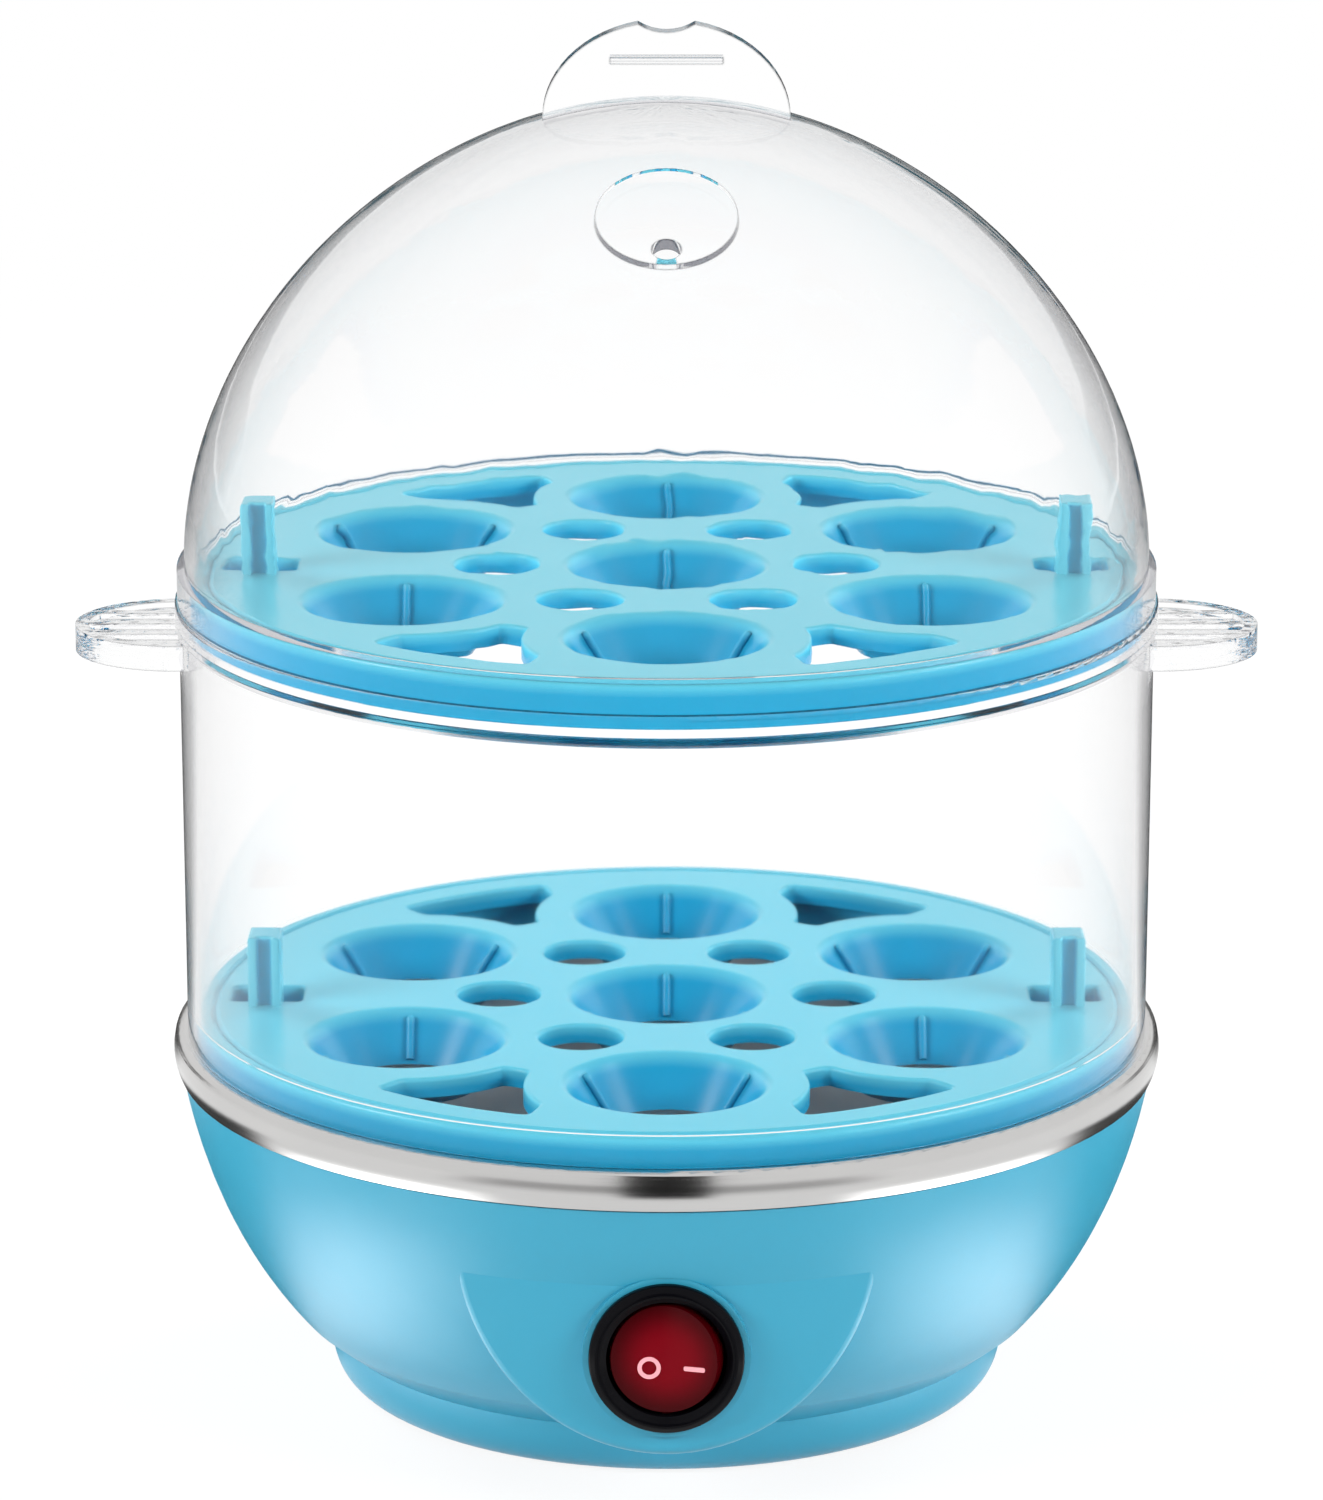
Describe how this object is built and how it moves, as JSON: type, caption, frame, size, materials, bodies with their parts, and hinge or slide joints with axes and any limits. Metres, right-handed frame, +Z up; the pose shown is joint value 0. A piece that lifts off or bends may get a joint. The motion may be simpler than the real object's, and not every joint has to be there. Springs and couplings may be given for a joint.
{
  "type": "two-tier electric egg cooker",
  "caption": "Two-tier electric egg steamer: heated blue base with a rocker switch, perforated egg trays, clear steam ring with ears and clear domed lid.",
  "frame": {"origin": "on the table under the middle of the base", "axes": "+Z up through the stack, -Y towards the switch, +X to the right as seen from the switch side"},
  "size_m": [0.1812, 0.153, 0.2127],
  "materials": {
    "housing_blue": "glossy moulded plastic, sky blue",
    "tray_blue": "satin moulded plastic, sky blue",
    "clear_plastic": "clear moulded plastic",
    "pan_steel": "polished pressed steel",
    "gasket_rubber": "silicone",
    "feet_rubber": "matt moulded rubber",
    "zinc_steel": "zinc-plated",
    "plate_aluminium": "cast",
    "element_steel": "drawn tube, heat-stained",
    "stat_body": "moulded phenolic",
    "fuse_body": "drawn can",
    "switch_black": "glossy moulded nylon",
    "rocker_red": "translucent moulded plastic, printed marks",
    "terminal_brass": "stamped",
    "lamp_glass": "drawn glass capsule",
    "gland_black": "moulded nylon",
    "block_white": "moulded nylon",
    "lead_brown": "insulated lead",
    "lead_black": "insulated lead",
    "lead_blue": "insulated lead",
    "lead_green": "insulated lead, green and yellow"
  },
  "bodies": {
    "base": {"base_housing": "housing_blue", "heating_pan": "pan_steel", "pan_gasket": "gasket_rubber", "bottom_cover": "housing_blue", "rubber_feet": "feet_rubber", "cover_screws": "zinc_steel", "heater_plate": "plate_aluminium", "heater_tube": "element_steel", "pan_stud": "zinc_steel", "retaining_bar": "zinc_steel", "pan_nut": "zinc_steel", "thermostat": "stat_body", "thermal_fuse": "fuse_body", "switch_housing": "switch_black", "switch_terminals": "terminal_brass", "neon_lamp": "lamp_glass", "cord_gland": "gland_black", "gland_nut": "gland_black", "terminal_block": "block_white", "live_lead": "lead_brown", "switched_lead": "lead_black", "heater_lead": "lead_black", "neutral_lead": "lead_blue", "earth_lead": "lead_green"},
    "rocker": {"switch_rocker": "rocker_red"},
    "lower_tray": {"lower_egg_tray": "tray_blue"},
    "ring": {"steam_ring": "clear_plastic"},
    "upper_tray": {"upper_egg_tray": "tray_blue"},
    "lid": {"dome_lid": "clear_plastic"}
  },
  "joints": [
    {"name": "rocker_tip", "type": "hinge", "parent": "base", "child": "rocker", "pos_m": [0, -0.0707, 0.0267], "axis": [0, 0, 1], "range_deg": [0, 12]},
    {"name": "lower_tray_lift", "type": "slide", "parent": "base", "child": "lower_tray", "axis": [0, 0, 1], "range_m": [0, 0.05]},
    {"name": "ring_lift", "type": "slide", "parent": "lower_tray", "child": "ring", "axis": [0, 0, 1], "range_m": [0, 0.1]},
    {"name": "upper_tray_lift", "type": "slide", "parent": "ring", "child": "upper_tray", "axis": [0, 0, 1], "range_m": [0, 0.05]},
    {"name": "lid_lift", "type": "slide", "parent": "upper_tray", "child": "lid", "axis": [0, 0, 1], "range_m": [0, 0.1]}
  ]
}
